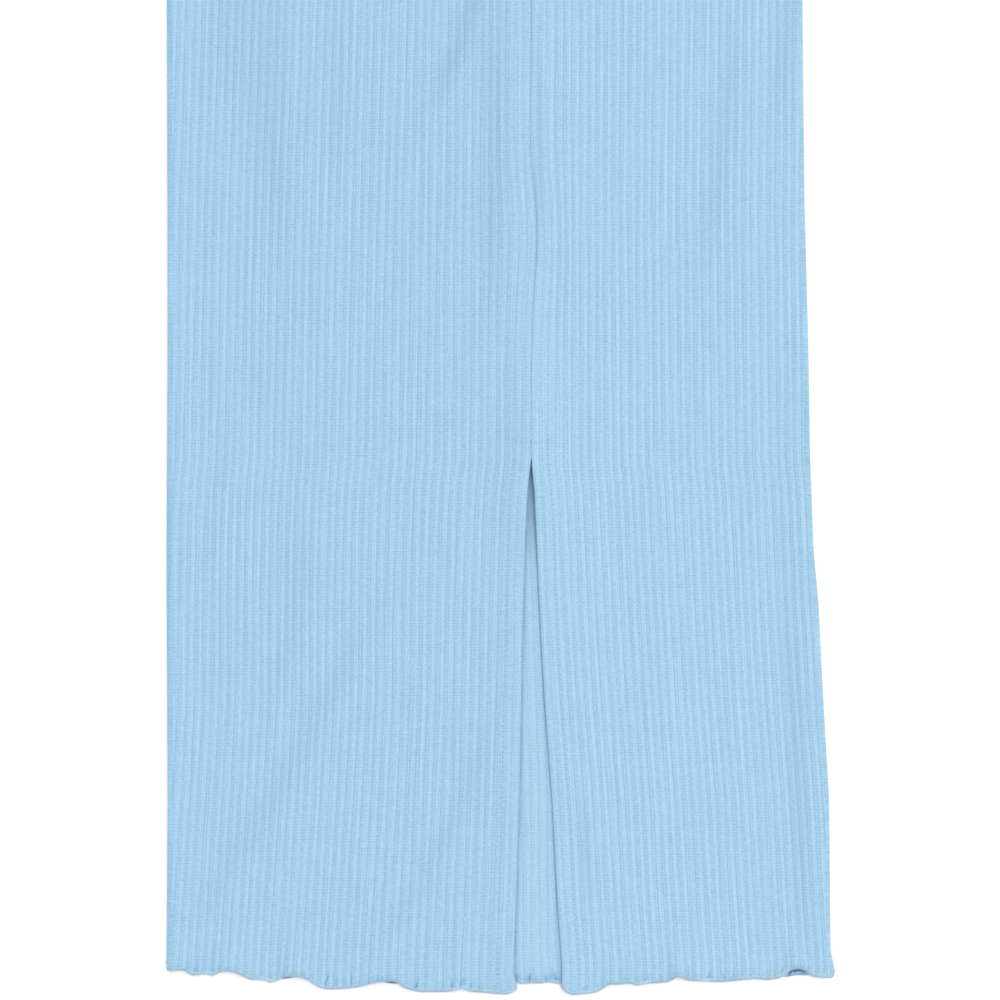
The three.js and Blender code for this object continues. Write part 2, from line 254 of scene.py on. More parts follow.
def hem_lift(hem, across, row):
    nearby = np.maximum(0, 1 - row / LIFT_REACH)
    return read_waves(hem, across, 2) * nearby * nearby


def back_top(across, up):
    row = np.maximum(0, up - hem_line(BACK_HEM, across))
    return KNIT_WALL + hem_lift(BACK_HEM, across, row)


def rim_curl(across, row):
    """How far the back's edge curls up where it shows in the slit."""
    return read_waves(RIM_CURLS, across, 1) * fade(row, CURL_REACH)


def back_shade(across, up, row):
    """How deep in shade the back's inside lies: in the slit's head, along the slit's edges and
    behind the hem where the front's edge stands off it."""
    left, right = read_table(SEAM, up, 1), read_table(SEAM, up, 2)
    in_slit = (across > left) & (across < right) & (up < SLIT_TOP)
    head = HEAD_SHADE * ease((up - HEAD_FOOT) / HEAD_HEIGHT) ** 2
    beside = LEFT_EDGE_SHADE * fade(across - left, LEFT_EDGE_REACH)
    beside = beside + RIGHT_EDGE_SHADE * fade(right - across, RIGHT_EDGE_REACH)
    beside = beside + RIM_SHADE * fade(row - RIM_SHADE_FROM, RIM_SHADE_REACH)
    beside = beside + gathered(BACK_GATHERS, across, row)
    gaping = read_waves(HEM_GAPS, across, 1) * ease((row - GAP_FROM) / GAP_REACH)
    gaping = gaping * fade(row - GAP_TOP, GAP_TOP_REACH)
    return np.maximum(np.where(in_slit, np.maximum(head, beside), 0), gaping)


def gathered(gathers, across, row):
    """How strong the hem's small creases are: how dark their painted shade is, and on the front how
    deep they dent the cloth.
    """
    depth = 0
    for foot, lean, height, half_width, deepest in gathers:
        middle = foot + lean * row / height
        aside = ease(1 - np.abs(across - middle) / half_width)
        rising = ease((row - GATHER_FROM) / GATHER_REACH)
        depth = depth + deepest * aside * rising * ease(1.6 * (1 - row / height))
    return depth


def round_edge(distance):
    """The share of its thickness that cloth keeps this far from a soft edge."""
    inward = 1 - np.clip(distance / EDGE_ROUND, 0, 1)
    return 0.3 + 0.7 * np.sqrt(1 - inward * inward)


def on_the_table(points):
    """Millimetres on the skirt become the part's metres, by way of the waistband's place."""
    low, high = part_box("waistband")
    middle = (low.x + high.x) / 2
    top = high.y
    placed = np.asarray(points, float) * MM
    placed[..., 0] += middle
    placed[..., 1] += top - WAIST_TOP * MM
    return placed


def new_piece(name, data):
    piece = bpy.data.objects.new(name, data)
    bpy.context.scene.collection.objects.link(piece)
    return piece


def keep_on_points(mesh, name, values):
    """Keeps a number or a direction for each point of a mesh."""
    values = np.asarray(values, np.float32)
    kind, field = ("FLOAT_VECTOR", "vector") if values.ndim == 2 else ("FLOAT", "value")
    mesh.attributes.new(name, kind, "POINT").data.foreach_set(field, values.ravel())


def lay_stitches(mesh, rib, points):
    """Gives a mesh its stitches, counted in ribs across and courses up."""
    vertex = np.zeros(len(mesh.loops), np.int32)
    mesh.loops.foreach_get("vertex_index", vertex)
    place = np.stack([rib, points[:, 1] / (COURSE * MM)], 1)[vertex]
    mesh.uv_layers.new(name="stitches").data.foreach_set("uv", place.astype(np.float32).ravel())


def cloth_wall(name, face, inside, knit):
    """A closed wall of cloth between its face and its inside. Each is given as grids with a
    row of points for each height: the points, the way out of the cloth, its place counted in
    ribs, how far its ribs stand out, and how deep it lies in shade."""
    grids = (face, inside)
    sizes = [grid["points"].shape[:2] for grid in grids]
    starts = [0, sizes[0][0] * sizes[0][1]]
    number = [
        starts[i] + np.arange(rows * columns).reshape(rows, columns)
        for i, (rows, columns) in enumerate(sizes)
    ]
    faces = []
    for grid, turned in zip(number, (False, True)):
        a, b, c, d = grid[:-1, :-1], grid[:-1, 1:], grid[1:, 1:], grid[1:, :-1]
        corners = (a, d, c, b) if turned else (a, b, c, d)
        faces += np.stack([corner.ravel() for corner in corners], 1).tolist()
    over, under = number
    for r in range(sizes[0][0] - 1):
        faces.append((under[r, 0], over[r, 0], over[r + 1, 0], under[r + 1, 0]))
        faces.append((under[r, -1], under[r + 1, -1], over[r + 1, -1], over[r, -1]))
    for end, turned in ((0, False), (-1, True)):
        i = j = 0
        low, high = under[end], over[end]
        low_x = inside["points"][end, :, 0]
        high_x = face["points"][end, :, 0]
        while i + 1 < len(low) or j + 1 < len(high):
            over_done = j + 1 >= len(high)
            if over_done or (i + 1 < len(low) and low_x[i + 1] <= high_x[j + 1]):
                triangle = (low[i], low[i + 1], high[j])
                i += 1
            else:
                triangle = (low[i], high[j + 1], high[j])
                j += 1
            faces.append(triangle[::-1] if turned else triangle)

    def both(key, width):
        return np.concatenate([grid[key].reshape(-1, width) for grid in grids])

    points = on_the_table(both("points", 3))
    mesh = bpy.data.meshes.new(name)
    mesh.from_pydata(points.tolist(), [], [[int(n) for n in f] for f in faces])
    keep_on_points(mesh, "way_out", both("way_out", 3))
    for key in ("rib", "relief", "shade"):
        keep_on_points(mesh, key, both(key, 1)[:, 0])
    lay_stitches(mesh, both("rib", 1)[:, 0], points)
    # Ribs that have run out at a side fold share one line of points.
    work = bmesh.new()
    work.from_mesh(mesh)
    bmesh.ops.remove_doubles(work, verts=work.verts, dist=SAME_POINT)
    bmesh.ops.dissolve_degenerate(work, edges=work.edges, dist=NO_LENGTH)
    work.to_mesh(mesh)
    work.free()
    mesh.shade_smooth()
    mesh.materials.append(knit)
    return new_piece(name, mesh)


def fill(tree, node, given):
    """Gives a node's inputs their values, or links them to other nodes' outputs."""
    for key, value in given.items():
        if isinstance(value, bpy.types.NodeSocket):
            tree.links.new(value, node.inputs[key])
        else:
            node.inputs[key].default_value = value
    return node


def add(tree, kind, given, **settings):
    """A new node with its settings and its inputs."""
    node = tree.nodes.new(kind)
    for word, setting in settings.items():
        setattr(node, word, setting)
    return fill(tree, node, given)


def step(tree, operation, *values):
    """One step of arithmetic in a node tree, on numbers or on other nodes' outputs."""
    return add(tree, "ShaderNodeMath", dict(enumerate(values)), operation=operation).outputs[0]


def mix_colors(tree, factor, first, second, blend="MIX", clamp=True):
    given = {"Factor": factor, 6: first, 7: second}
    mix = add(tree, "ShaderNodeMix", given, data_type="RGBA", blend_type=blend, clamp_factor=clamp)
    return mix.outputs[2]


def new_tree(name, kind, given, made):
    """A node tree with its named inputs and outputs, each with its kind."""
    tree = bpy.data.node_groups.new(name, kind)
    for in_out, sockets in (("INPUT", given), ("OUTPUT", made)):
        for word, sort in sockets:
            tree.interface.new_socket(word, in_out=in_out, socket_type=f"NodeSocket{sort}")
    return tree, tree.nodes.new("NodeGroupInput").outputs, tree.nodes.new("NodeGroupOutput")


# How light the knit is painted across one rib, from dip to dip, as painted highlight and
# painted shade: the raised wale is the lightest, and the deeper dip lies to its right.
RIB_END_SHADE = 0.13
PAINTED_WALE_SHADES = (
    (0.05, 0.34), (0.11, 0.67), (0.17, 0.74), (0.23, 0.54), (0.29, 0.44), (0.36, 0.6), (0.44, 0.82),
    (0.52, 0.87), (0.6, 0.71), (0.69, 0.68), (0.77, 0.73), (0.84, 0.44), (0.9, 0.04), (0.96, 0),
)

STITCH_COLUMNS = 6
STITCH_SLANT = 0.7
LEAST_COURSE = 0.15
LILAC_TINT = (1.03, 0.965, 1, 1)


def rib_knit_pattern():
    """The look of rib knit from a place counted in ribs across and courses up: a raised
    wale, a low one and the two dips between them, in rows of stitches, with painted highlight
    on the raised wale and painted shade in the dips."""
    strengths = ("Ribbed", "Courses", "Streaks", "Stitch grain")
    tree, given, result = new_tree(
        "Rib knit pattern", "ShaderNodeTree",
        [("Stitches", "Vector"), ("Crest", "Color"), ("Dip", "Color"),
         *((strength, "Float") for strength in strengths)],
        [("Color", "Color"), ("Roughness", "Float"), ("Height", "Float")],
    )
    parts = add(tree, "ShaderNodeSeparateXYZ", {0: given["Stitches"]})
    across, up = parts.outputs["X"], parts.outputs["Y"]
    in_rib = step(tree, "FRACT", across)
    wales = add(tree, "ShaderNodeValToRGB", {"Fac": in_rib})
    wales.color_ramp.interpolation = "CARDINAL"
    shades = wales.color_ramp.elements
    for end in (0, 1):
        shades[end].position = end
        shades[end].color = (RIB_END_SHADE, RIB_END_SHADE, RIB_END_SHADE, 1)
    for position, shade in PAINTED_WALE_SHADES:
        shades.new(position).color = (shade, shade, shade, 1)
    ribbed = step(tree, "SUBTRACT", wales.outputs["Color"], 0.5)
    ribbed = step(tree, "MULTIPLY", ribbed, given["Ribbed"])
    # On the raised wale the stitches are slanted both ways from its middle.
    from_crest = step(tree, "ABSOLUTE", step(tree, "SUBTRACT", in_rib, 0.5))
    slant = step(tree, "MULTIPLY", step(tree, "MINIMUM", from_crest, 0.22), STITCH_SLANT)
    turn = step(tree, "MULTIPLY", step(tree, "ADD", up, slant), 2 * math.pi)
    course = step(tree, "MULTIPLY", step(tree, "SINE", turn), 0.5)
    # The stitches stand in straight columns, so what differs from one to the next has edges.
    column = step(tree, "FLOOR", step(tree, "MULTIPLY", across, STITCH_COLUMNS))

    def noise(side_to_side, across_scale, up_scale, detail):
        """Unevenness that changes so fast across and from course to course."""
        x = step(tree, "MULTIPLY", side_to_side, across_scale)
        y = step(tree, "MULTIPLY", up, up_scale)
        place = add(tree, "ShaderNodeCombineXYZ", {"X": x, "Y": y}).outputs[0]
        texture = add(tree, "ShaderNodeTexNoise", {"Vector": place, "Scale": 1, "Detail": detail})
        return step(tree, "SUBTRACT", texture.outputs["Fac"], 0.5)

    # Each column is lighter or darker than the next, which evens out over a rib.
    beside = step(tree, "ADD", column, 1)
    streak = step(tree, "SUBTRACT", noise(column, 1.61, 0.025, 1), noise(beside, 1.61, 0.025, 1))
    stitch = noise(column, 1.37, 1.3, 1)
    fine = noise(column, 2.71, 0.035, 0)
    tint = noise(across, 1.3, 0.16, 1)
    # The courses show more in some patches than in others.
    patch = step(tree, "MULTIPLY_ADD", noise(across, 0.45, 0.11, 2), 5, 1)
    course = step(tree, "MULTIPLY", course, step(tree, "MAXIMUM", patch, LEAST_COURSE))
    light = step(tree, "ADD", ribbed, 0.5)
    light = step(tree, "MULTIPLY_ADD", course, given["Courses"], light)
    light = step(tree, "MULTIPLY_ADD", streak, given["Streaks"], light)
    light = step(tree, "MULTIPLY_ADD", stitch, given["Stitch grain"], light)
    light = step(tree, "MULTIPLY_ADD", fine, step(tree, "MULTIPLY", given["Streaks"], 0.5), light)
    # The shaded dip's blue and the lit crest's blue mix here as painted shade and painted highlight.
    color = mix_colors(tree, light, given["Dip"], given["Crest"])
    # The yarn is a touch more lilac in some places than in others.
    lilac = step(tree, "MAXIMUM", step(tree, "MULTIPLY_ADD", tint, 1.7, 0.25), 0)
    height = step(tree, "MULTIPLY_ADD", ribbed, 0.5, step(tree, "MULTIPLY", course, 0.7))
    fill(tree, result, {
        "Color": mix_colors(tree, lilac, color, LILAC_TINT, "MULTIPLY"),
        "Roughness": step(tree, "MULTIPLY_ADD", stitch, 0.2, 0.88),
        "Height": step(tree, "MULTIPLY_ADD", stitch, 0.8, height),
    })
    return tree


pattern = rib_knit_pattern()

# The blue of cloth that lies deep in shade.
SHADE_BLUE = (0.036, 0.19, 0.39, 1)


def new_material(name):
    material = bpy.data.materials.new(name)
    material.use_nodes = True
    return material, material.node_tree, material.node_tree.nodes["Principled BSDF"]


def in_shade(tree, color, clamp=True):
    """A colour with painted shade: darker where the cloth there lies in shade, and, if not clamped,
    paler with painted highlight where the shade is below zero.
    """
    depth = add(tree, "ShaderNodeAttribute", {}, attribute_name="shade")
    return mix_colors(tree, depth.outputs["Fac"], color, SHADE_BLUE, clamp=clamp)


def knit_material(name, lit_crest, shaded_dip, relief, ribbed, courses, streaks, grain):
    """Rib knit in two blues: a lit one on the crests and a shaded one in the dips, as painted
    highlight and painted shade. Its ribs show less where they don't stand out.
    """
    material, tree, yarn = new_material(name)
    stitches = add(tree, "ShaderNodeUVMap", {}, uv_map="stitches")
    stand = add(tree, "ShaderNodeAttribute", {}, attribute_name="relief")
    contrast = add(tree, "ShaderNodeMapRange", {
        "Value": stand.outputs["Fac"], "To Min": 0.3 * ribbed, "To Max": ribbed,
    })
    look = add(tree, "ShaderNodeGroup", {
        "Stitches": stitches.outputs["UV"], "Crest": lit_crest, "Dip": shaded_dip,
        "Ribbed": contrast.outputs[0], "Courses": courses, "Streaks": streaks,
        "Stitch grain": grain,
    }, node_tree=pattern)
    bump = add(tree, "ShaderNodeBump", {
        "Height": look.outputs["Height"], "Strength": 0.7, "Distance": relief * MM,
    })
    fill(tree, yarn, {
        "Base Color": in_shade(tree, look.outputs["Color"]),
        "Roughness": look.outputs["Roughness"], "Normal": bump.outputs["Normal"],
        "Sheen Weight": 0.12, "Sheen Roughness": 0.6, "Specular IOR Level": 0.2,
    })
    return material


# The knit's blue lit on the crests and shaded in the dips, outside and inside: painted highlight and
# painted shade.
LIT_CREST_BLUE = (0.384, 0.605, 0.777, 1)
SHADED_DIP_BLUE = (0.26, 0.455, 0.609, 1)
INSIDE_LIT_CREST_BLUE = (0.384, 0.591, 0.758, 1)
INSIDE_SHADED_DIP_BLUE = (0.282, 0.472, 0.629, 1)

inside_knit = knit_material(
    "Blue rib knit, inside", INSIDE_LIT_CREST_BLUE, INSIDE_SHADED_DIP_BLUE, relief=0.1, ribbed=1.1,
    courses=0.28, streaks=0.6, grain=1.6,
)

# A rib's form from dip to dip: how far across it, how high.
RIB_PROFILE = [
    (0, 0.22), (0.13, 0), (0.22, 0.45), (0.33, 0.93), (0.5, 1), (0.67, 0.93), (0.78, 0.45), (0.87, 0),
]


def rib_columns(count):
    """Where the columns of points lie across so many ribs."""
    return np.array([n + place for n in range(count) for place, _ in RIB_PROFILE] + [count])


def kept(tree, name, kind):
    """What a mesh keeps for its points under a name."""
    node = add(tree, "GeometryNodeInputNamedAttribute", {"Name": name}, data_type=kind)
    return next(output for output in node.outputs if output.enabled)


def rib_tree():
    """Raises the ribs of a piece of knit, one after another across it."""
    tree, given, result = new_tree(
        "Knitted ribs", "GeometryNodeTree",
        [("Cloth", "Geometry"), ("Rib height", "Float"), ("Knit", "Material")],
        [("Cloth", "Geometry")],
    )
    in_rib = step(tree, "FRACT", kept(tree, "rib", "FLOAT"))
    profile = add(tree, "ShaderNodeFloatCurve", {"Value": in_rib})
    points = profile.mapping.curves[0].points
    for end in (0, 1):
        points[end].location = (end, RIB_PROFILE[0][1])
    for place, height in RIB_PROFILE[1:]:
        points.new(place, height)
    profile.mapping.update()
    height = step(tree, "MULTIPLY", profile.outputs[0], given["Rib height"])
    height = step(tree, "MULTIPLY", height, kept(tree, "relief", "FLOAT"))
    outward = add(tree, "ShaderNodeVectorMath", {
        0: kept(tree, "way_out", "FLOAT_VECTOR"), "Scale": height,
    }, operation="SCALE")
    raised = add(tree, "GeometryNodeSetPosition", {
        "Geometry": given["Cloth"], "Offset": outward.outputs[0],
    })
    real = add(tree, "GeometryNodeRealizeInstances", {0: raised.outputs[0]})
    dressed = add(tree, "GeometryNodeSetMaterial", {
        "Geometry": real.outputs[0], "Material": given["Knit"],
    })
    fill(tree, result, {0: dressed.outputs[0]})
    return tree


def make_with(tree, piece, **sizes):
    """Runs a node tree on a piece and keeps what it makes as the piece's plain mesh."""
    maker = piece.modifiers.new(tree.name, "NODES")
    maker.node_group = tree
    for item in tree.interface.items_tree:
        word = item.name.lower().replace(" ", "_")
        if item.item_type == "SOCKET" and item.in_out == "INPUT" and word in sizes:
            maker[item.identifier] = sizes[word]
    graph = bpy.context.evaluated_depsgraph_get()
    made = bpy.data.meshes.new_from_object(
        piece.evaluated_get(graph), preserve_all_data_layers=True, depsgraph=graph
    )
    piece.modifiers.remove(maker)
    piece.data = made
    return piece


ribs = rib_tree()
RIB_HEIGHT = 0.45 * MM


def back_grid(columns_per_rib, is_face):
    """The grid of the back panel's face, which is its inside in wear, or of its underside."""
    rib = np.linspace(0, BACK_RIBS, BACK_RIBS * columns_per_rib + 1)[None, :]
    row = CLOTH_ROWS[:, None]
    share = rib / BACK_RIBS
    inset = 0 if is_face else KNIT_WALL / 2

    def across_at(up):
        left = side_fold(-1, up) + inset
        return left + (side_fold(1, up) - inset - left) * share

    up = np.minimum(height_of(BACK_HEM, across_at(row), row), PANEL_TOP - SEAM_GAP)
    across = across_at(up)
    pressed = fade(row, PRESS_REACH)
    top = back_top(across, up) - PRESS_OVER * pressed
    low = back_top(across, up) - KNIT_WALL + PRESS_UNDER * pressed
    middle = (top + low) / 2
    half = (top - low) / 2 * round_edge(row + 0 * across)
    z = (middle + half if is_face else middle - half) + rim_curl(across, row)
    stand = BACK_RIB_RELIEF * ease(row / RIB_START) if is_face else 0
    side = 1 if is_face else -1
    return {
        "points": np.stack([across, up, z], 2),
        "way_out": np.stack([0 * z, 0 * z, side + 0 * z], 2),
        "rib": rib + 0 * z,
        "relief": stand + 0 * z,
        "shade": back_shade(across, up, row) if is_face else 0 * z,
    }


back_grids = back_grid(columns_per_rib=4, is_face=True), back_grid(columns_per_rib=1, is_face=False)
back = cloth_wall("back_panel_knit", *back_grids, inside_knit)
make_with(ribs, back, rib_height=RIB_HEIGHT, knit=inside_knit)

# Front panels: the two rib knit pieces of the front, sewn to each other above the slit and to
# the back along the sides. The seam allowance is folded back beneath the seam and the slit's
# edges. The ribs run from the hem to the waist and are counted from the seam.
RIB_PITCH = 4.51
LEFT_RIBS = 46
RIGHT_RIBS = 35
SPREAD_RIBS = 21
FOLD_RADIUS = 1.5
FOLD_REACH = 18
ALLOWANCE_WIDTH = 10
ALLOWANCE_SLOPE = 2
ALLOWANCE_RISE = 0.7
ALLOWANCE_PRESS = 0.5
FRONT_PRESS_UNDER = 0.25
BAND_WALL = 1.8
BAND_HOLLOW = 0.4
BAND_STEP_REACH = 25
STITCH_LINE = 9.5
STITCH_DENT = 0.2
STITCH_DENT_REACH = 1.1
BAR_UP = 298.6

# How much wider than their pitch the panels lie where they are stretched: up, left and right.
SPREAD = [
    (0, 8.6, 0.4), (25, 7.9, 0.4), (157, 3.7, 0.4), (289, 6, 0.4), (426, 3.4, -1.1), (542, 0, 0),
]

# The front hem's waves: across, how far the edge reaches above the hem line, and its lift.
FRONT_HEM = [
    (-175, 7.7, 0.4),
    (-166, 8.5, 1.6),
    (-160.3, 5.2, 0),
    (-152.6, 6, 0.9),
    (-149.6, 4.7, 0),
    (-146.6, 6.7, 1.2),
    (-142, 7.9, 2.8),
    (-136.4, 6.7, 2),
    (-127.6, 2.9, 0.5),
    (-121, 2.5, 0.4),
    (-117.4, 1.1, 0),
    (-111.6, 3.6, 1.4),
    (-108, 5.1, 3),
    (-101.8, 4.9, 4),
    (-97.7, 3.4, 2.4),
    (-88.7, -2, 0.2),
    (-84, -2.4, 0),
    (-72.6, -1.7, 0.4),
    (-56.7, 2.2, 3.6),
    (-51, 2.7, 3.2),
    (-47.4, 1.4, 2),
    (-44, -1.4, 0.9),
    (-33.6, -3.9, 0),
    (-17.6, -3.7, 0),
    (-11, -1.8, 2.2),
    (-9, -3.3, 1),
    (-2, -4.1, 0),
    (12.1, -5.1, 0),
    (15.8, -4.4, 0.2),
    (18.2, -3, 0.8),
    (41.3, 0, 1.2),
    (46, -4.4, 0.4),
    (50, -5.4, 0),
    (62, -4, 0.3),
    (68.2, -0.1, 1.6),
    (71, 0.8, 2.2),
    (75.4, 0.4, 0.8),
    (79.8, 1.2, 1.8),
    (84.2, -0.3, 0.2),
    (92, 1.1, 1.4),
    (101.8, 1.8, 0.6),
    (106.9, 5, 3.6),
    (112.2, 2.6, 0.6),
    (118, 2.3, 1.4),
    (128.7, 1.7, 0.1),
    (150.2, 3.5, 1.3),
    (156.8, 2.8, 0.1),
    (162.8, 4.1, 1.2),
    (166.1, 6, 1.6),
    (169, 8.9, 3.2),
    (173.5, 9.6, 3.6),
    (177.3, 7.7, 2.2),
    (180.8, 4.9, 0.5),
    (184.3, 4.4, 0.3),
    (193, 4.2, 0.3),
]

# Soft swells where the knit doesn't lie quite flat: across, reach, foot, top, rise.
SWELLS = [
    (13, 12, 320, 650, 1.5),
    (148, 28, 300, 700, 1.2),
    (-92, 34, 110, 520, 1.1),
    (-150, 24, 380, 700, 1),
    (96, 24, 50, 330, 0.9),
    (26, 25, 225, 355, 2.6),
]

# Soft creases where the front sags between its folds, each also darkened with painted shade: from
# across and up, by way of across, to across and up, half width and depth.
CREASES = [
    (-1, 575, -6, -38, 467, 10, 1.1),
    (-119, 590, -120, -114, 375, 14, 0.65),
    (-142, 590, -138, -134, 470, 18, 0.5),
    (-78, 560, -80, -86, 420, 7, 0.4),
    (7, 560, 5, 1, 350, 11, 0.65),
    (-52, 232, -95, -178, 12, 12, 0.5),
    (-100, 262, -102, -120, 140, 11, 0.35),
    (7, 175, -3, -78, -2, 10, 0.5),
    (165, 250, 171, 177, -4, 9, 0.65),
    (142, 560, 130, 112, 350, 11, 0.45),
    (172, 575, 166, 157, 455, 9, 0.5),
    (29.2, 530, 31.5, 28.5, 380, 4.5, 1),
    (52, 120, 55, 58, 30, 6, 0.5),
]
SAG = 0.5
SAG_REACH = 60
CREASE_SHADE = 0.13
LEFT_SHADE = 0.03

# The small creases of the front's gathered hem, read as the back's are; on the front they also dent
# the cloth.
FRONT_GATHERS = [
    (-159, 1, 7, 3.5, 0.13),
    (-151, 1, 5, 3, 0.1),
    (-119, 3, 6, 2.4, 0.14),
    (-88.4, 3.6, 10, 1.6, 0.4),
    (-81.5, 0.5, 8, 1.6, 0.14),
    (-73, -0.5, 11, 1.3, 0.22),
    (-61, 0.3, 5, 1.3, 0.2),
    (-38.4, 2.8, 6.5, 1.2, 0.5),
    (-23.5, 1, 6, 2, 0.1),
    (-17.3, -1, 7.5, 1.6, 0.26),
    (-13.5, 3, 7, 2.2, 0.2),
    (-8, 0.6, 5, 1.6, 0.34),
    (-4.4, 3, 5, 1.3, 0.3),
    (7, -1, 8, 2, 0.1),
    (55, 0.5, 5, 1.1, 0.22),
    (78, 1, 6, 2, 0.1),
    (88.5, 3, 6.5, 1.8, 0.22),
    (98, -1.5, 5, 1.5, 0.14),
    (111.5, 2, 6, 1.4, 0.2),
    (122, 3.2, 7, 1.6, 0.3),
    (126, -2, 4.5, 1.3, 0.2),
    (133, -2.6, 5.5, 1.3, 0.4),
    (137, 0.5, 6, 1.6, 0.18),
    (153, 1, 5, 1.6, 0.14),
    (163, 1, 6, 1.5, 0.24),
]
# How much painted shade the gathers put into the front's colour.
GATHER_SHADE = 1.4
GATHER_DEPTH = 1.6
HEM_SHADE = 0.05

# The seam wanders a little where the left panel rolls over it: up, how far to the right.
SEAM_WANDER = [
    (296, 0), (330, 0), (366, 0.8), (408, 3), (430, 2.2), (454, 0), (476, -0.6), (525, 0.1), (560, 0),
]
WANDER_REACH = 30

# The slit's corners at the hem.
CORNER_TOP = 11
CORNER_REACH = 22

# The furrow along the seam, which gets deeper well above the slit.
SEWN_REACH = 12
FURROW = 0.09
FURROW_ABOVE = 0.12
FURROW_DEEPENS, FURROW_DEEPENING = 330, 60
FURROW_REACH = 1.1
FURROW_PLACES = [0.03, 0.07, 0.17]

# How much thinner the slit's edges are.
EDGE_THINNING = 0.18
EDGE_THINNING_REACH = 8
NUDGE = 0.01


def swell(across, up):
    """How far the front's soft swells rise."""
    rise = 0
    for middle, reach, foot, top, height in SWELLS:
        aside = ease(1 - np.abs(across - middle) / reach)
        along = ease(2 - 4 * np.abs(up - (foot + top) / 2) / (top - foot))
        rise = rise + height * aside * along
    return rise


def crease(across, up):
    """How deep the front's soft creases are, which also sets how dark their painted shade is."""
    depth = 0
    for start, top, by_way_of, end, foot, half_width, deepest in CREASES:
        t = np.clip((top - up) / (top - foot), 0, 1)
        middle = start * (1 - t) ** 2 + 2 * by_way_of * t * (1 - t) + end * t * t
        aside = ease(1 - np.abs(across - middle) / half_width)
        depth = depth + deepest * aside * ease(2.5 * t) * ease(2.5 * (1 - t))
    return depth


def front_inside(side, rib, bend, row, nudge=0.0):
    """The inside of a front panel, from the place in ribs and the row. The last columns bend
    down round the side fold."""
    edge_column = 1 if side < 0 else 2

    def straight_edge(up):
        return read_table(SEAM, np.maximum(up, CORNER_TOP), edge_column)

    def flat_at(up):
        return np.abs(side_fold(side, up) - straight_edge(up)) - KNIT_WALL - FOLD_RADIUS

    def place(up):
        flat = flat_at(up)
        drawn_in = np.where(up > HIP, flat / flat_at(HIP), 1)
        wider = read_table(SPREAD, up, edge_column) * ease(rib / SPREAD_RIBS)
        rib_along = np.minimum(rib * RIB_PITCH * drawn_in + wider, flat)
        quarter = FOLD_RADIUS * math.pi / 2
        along = np.clip(rib_along + quarter * bend + nudge, 0, flat + quarter)
        angle = np.maximum(0, along - flat) / FOLD_RADIUS
        reach = np.minimum(along, flat) + FOLD_RADIUS * np.sin(angle)
        loft = np.where(along > flat, np.cos(angle), ease(1 - (flat - along) / FOLD_REACH))
        wander = read_waves(SEAM_WANDER, up, 1) * fade(reach, WANDER_REACH)
        corner = read_table(SEAM, up, edge_column) - straight_edge(up)
        corner = corner * fade(reach, CORNER_REACH)
        across = straight_edge(up) + corner + wander + side * reach
        return across, along, loft, np.cos(angle), rib_along < flat

    across = place(row + 0 * rib)[0]
    up = np.minimum(height_of(FRONT_HEM, across, row), PANEL_TOP - SEAM_GAP)
    across, along, loft, lying, ribbed = place(up)
    band_step = BAND_WALL + BAND_HOLLOW - KNIT_WALL - SEAM_GAP
    climb = band_step * ease(1 - (PANEL_TOP - up) / BAND_STEP_REACH)
    sag = SAG * (1 - crease(across, up)) * ease((PANEL_TOP - up) / SAG_REACH)
    soft = hem_lift(FRONT_HEM, across, row) + swell(across, up) + sag
    soft = np.maximum(0, soft - GATHER_DEPTH * gathered(FRONT_GATHERS, across, row))
    z = back_top(across, up) + SEAM_GAP + climb + FOLD_RADIUS * loft + soft * lying
    return across, up, z, along, ribbed


